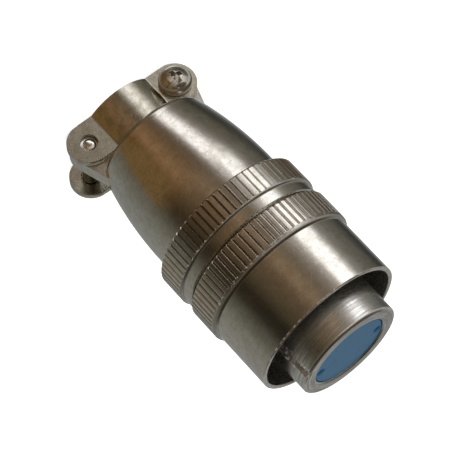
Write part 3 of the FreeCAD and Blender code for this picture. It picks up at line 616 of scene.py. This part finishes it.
def screw_bar(name, radius, side, reach, columns=64):
    """A round bar about the axis of one of the two clamp screws, in millimetres."""
    cleared()
    bpy.ops.mesh.primitive_cylinder_add(vertices=columns, radius=radius * MM, depth=2 * reach * MM,
                                        location=(side * SCREW_ASIDE * MM, 0, SCREW_UP * MM),
                                        rotation=Vector((0, 1, 0)).to_track_quat("Z", "Y").to_euler())
    return named(name)


housing = turned("backshell_piece",
                 [(6.4, 8.8), (9.05, 8.8)] + arc((9.05, 10.1), 1.3, -80, 0, 6)
                 + arc((12.3 - 61.0, 25.4), 61.0, -14.2, 0, 24)
                 + [(12.3, 28.2), (13.75, 28.2), (RING, 28.5), (RING, 32.93), (RING, 33.05)]
                 + arc((13.7, 33.1), 0.35, 0, 90, 4)
                 + [(13.6, 33.45), (13.6, 35.3), (13.4, 35.5), (11.5, 35.5), (11.5, 36.4), (9.24, 36.4),
                    (9.24, 25.0), (8.6, 25.0), (8.6, 11.2), (6.4, 11.2)], COLUMNS)
knurled(housing, [(13.75, 28.2), (RING, 28.5), (RING, 32.93)])
for side in (1, -1):
    lug = block("clamp_lug", (LUG_INNER, -LUG_HALF, SCREW_UP), (LUG_OUTER, LUG_HALF, LUG_TOP))
    for corner, shift in (((LUG_INNER, LUG_TOP), (1.45, -1.4)), ((LUG_OUTER, LUG_TOP), (-2.019, 0)),
                          ((LUG_OUTER, SCREW_UP), (0, 1.035))):
        picked(lug, lambda x, y, z: math.hypot(x - corner[0], z - corner[1]) < 0.01)
        bpy.ops.transform.translate(value=(shift[0] * MM, 0, shift[1] * MM))
        bpy.ops.object.mode_set(mode="OBJECT")
    carved(lug, screw_bar("lug_end", 3.35, 1, LUG_HALF, 96), "UNION")
    carved(lug, screw_bar("lug_hole", 1.8, 1, 3))
    if side < 0:
        whole(bpy.ops.transform.resize, value=(-1, 1, 1), center_override=(0, 0, 0))
        bpy.ops.mesh.normals_make_consistent(inside=False)
        bpy.ops.object.mode_set(mode="OBJECT")
    carved(housing, lug, "UNION")
smoothed(housing, 0.045)
dressed(housing, satin_nickel, "satin_nickel", "plug", "backshell")
for node in ("cable_bush", "backshell_gasket"):
    refinished(node, black_rubber)


# Clamp saddles. Two equal stampings of nickel plated sheet, an arch over the cable between two flat
# ears. One ear is tapped and the other has a clear hole; the far saddle is the near one turned round.
WIDTH = 7.5
SHEET = 1.2
EAR_FACE = -2.58
EAR_END = 13.0
THROUGH = 9
ARCH = 8.05
ARCH_MIDDLE = 3.2
BEND = 0.5
SPACING = 7.2


def from_screw(across, up):
    """How far a point lies from the nearer clamp screw's axis."""
    beside = abs(across) - SCREW_ASIDE
    return (beside * beside + (up - SCREW_UP) * (up - SCREW_UP)).root()


def shade_in_holes(across, along, up, out):
    """Painted shade on the walls of the two holes in a saddle."""
    return from_screw(across, up).between(1.70, 1.60) * 0.5


saddle_nickel = metal("saddle_nickel", (0.68, 0.645, 0.55), (0.50, 0.465, 0.36), rough=0.22, lines=0.0,
                      wear=0.8, painted_shade=shade_in_holes)
slope = math.asin((ARCH_MIDDLE - EAR_FACE + BEND) / (ARCH + BEND))
bend = arc((-(ARCH + BEND) * math.cos(slope), EAR_FACE - BEND), BEND, 90, math.degrees(slope), 6)
crown = arc((0, ARCH_MIDDLE), ARCH, 180 + math.degrees(slope), 360 - math.degrees(slope), 40)
section = ([(-EAR_END, EAR_FACE)] + bend + crown[1:-1] + [(-x, y) for x, y in reversed(bend)]
           + [(EAR_END, EAR_FACE)])
cleared()
bpy.ops.mesh.primitive_plane_add(size=WIDTH * MM, rotation=(math.radians(90), 0, 0),
                                 location=(-EAR_END * MM, EAR_FACE * MM, WIDTH / 2 * MM))
saddle = named("near_saddle_piece")
picked(saddle, lambda x, y, z: x > -EAR_END)
bpy.ops.mesh.delete(type="VERT")
bpy.ops.mesh.select_all(action="SELECT")
bpy.ops.transform.translate(value=(WIDTH / 2 * MM, 0, 0))
for before, after in zip(section, section[1:]):
    step = ((after[0] - before[0]) * MM, (after[1] - before[1]) * MM, 0)
    bpy.ops.mesh.extrude_region_move(TRANSFORM_OT_translate={"value": step})
whole(bpy.ops.mesh.normals_make_consistent, inside=False)
bpy.ops.object.mode_set(mode="OBJECT")
outward = saddle.data.polygons[0].normal.y < 0
worked(saddle, "SOLIDIFY", thickness=SHEET * MM, offset=-1 if outward else 1)
plan = block("saddle_plan", (-8.7, -THROUGH, 0), (8.7, THROUGH, WIDTH))
for side in (1, -1):
    carved(plan, screw_bar("ear_end", 3.7, side, THROUGH, 96), "UNION")
carved(saddle, plan, "INTERSECT")
carved(saddle, screw_bar("tapped_hole", 1.53, 1, THROUGH))
carved(saddle, screw_bar("clear_hole", 1.7, -1, THROUGH))
smoothed(saddle, 0.14, 3)
cleared()
saddle.select_set(True)
bpy.context.view_layer.objects.active = saddle
bpy.ops.object.duplicate(linked=False)
whole(bpy.ops.transform.resize, value=(-1, -1, 1), center_override=(0, 0, 0))
bpy.ops.transform.translate(value=(0, SPACING * MM, 0))
far_saddle = named("far_saddle_piece")
dressed(saddle, saddle_nickel, "saddle_nickel", "near_clamp", "near_saddle")
dressed(far_saddle, saddle_nickel, "saddle_nickel", "far_clamp", "far_saddle")


# Clamp screws. Two M3 pan head screws, headed and thread rolled from steel wire, with a cross recess
# and bright nickel plate. Each goes through one saddle and is threaded into the other.
SEAT = -2.61
DOME = 2.8
DOME_SINK = 0.7
PITCH = 0.5


def shade_on_screws(across, along, up, out):
    """Painted shade on the thread between the lug and the far saddle, round each head's rim and in its
    cross recess.
    """
    from_axis = from_screw(across, up)
    over = abs(along - SPACING / 2) - (SPACING / 2 - SEAT - DOME_SINK)
    under_dome = (over * over + from_axis * from_axis).root()
    recess = under_dome.between(2.72, 2.45) * over.between(1.3, 1.5)
    rim = from_axis.between(1.5, 2.5) * over.between(0.6, 0.7)
    return (along.within(1.4, 8.3, 0.3) * 0.4).most(recess * 0.1 + rim * 0.3)


bright_nickel = metal("bright_nickel", (0.84, 0.81, 0.75), (0.74, 0.70, 0.62), rough=0.14, lines=0.0,
                      wear=0.7, painted_shade=shade_on_screws)


def clamp_screw(name):
    """A screw that stands on its end, its head's seat at height 0."""
    screw = turned(name, [(0, -12), (0.5, -11.98), (0.9, -11.87), (1.2, -11.6), (1.2, -0.6),
                          (1.45, -0.3), (1.45, 0), (2.65, 0), (2.8, 0.15), (2.8, 0.8)]
                   + arc((0, -DOME_SINK), DOME, 32.4, 88, 10)[1:] + [(0, DOME - DOME_SINK)], 64)
    cleared()
    bpy.ops.mesh.primitive_circle_add(vertices=3, radius=0.27 * MM, rotation=(math.radians(90), 0, 0),
                                      location=(1.24 * MM, 0, -11.7 * MM))
    ridge = named("thread_ridge")
    worked(ridge, "SCREW", axis="Z", angle=math.radians(360), screw_offset=PITCH * MM, iterations=21,
           steps=32, render_steps=32)
    whole(bpy.ops.mesh.fill_holes, sides=0)
    bpy.ops.mesh.normals_make_consistent(inside=False)
    bpy.ops.object.mode_set(mode="OBJECT")
    carved(screw, ridge, "UNION")
    for across, along in ((3.6, 0.95), (0.95, 3.6)):
        slot = block("recess_slot", (-across / 2, -along / 2, 0.8), (across / 2, along / 2, 3))
        picked(slot, lambda x, y, z: z < 1)
        bpy.ops.transform.resize(value=(0.5 if across > 1 else 0.8, 0.5 if along > 1 else 0.8, 1))
        bpy.ops.object.mode_set(mode="OBJECT")
        carved(screw, slot)
    return smoothed(screw, 0.07)


for name, body, node, tilt, place in (
        ("near_screw_piece", "near_clamp", "near_screw", 90, (-SCREW_ASIDE, SEAT, SCREW_UP)),
        ("far_screw_piece", "far_clamp", "far_screw", -90, (SCREW_ASIDE, SPACING - SEAT, SCREW_UP))):
    screw = clamp_screw(name)
    screw.rotation_euler = (math.radians(tilt), 0, 0)
    screw.location = [length * MM for length in place]
    screw = named(name)
    dressed(screw, bright_nickel, "bright_nickel", body, node)
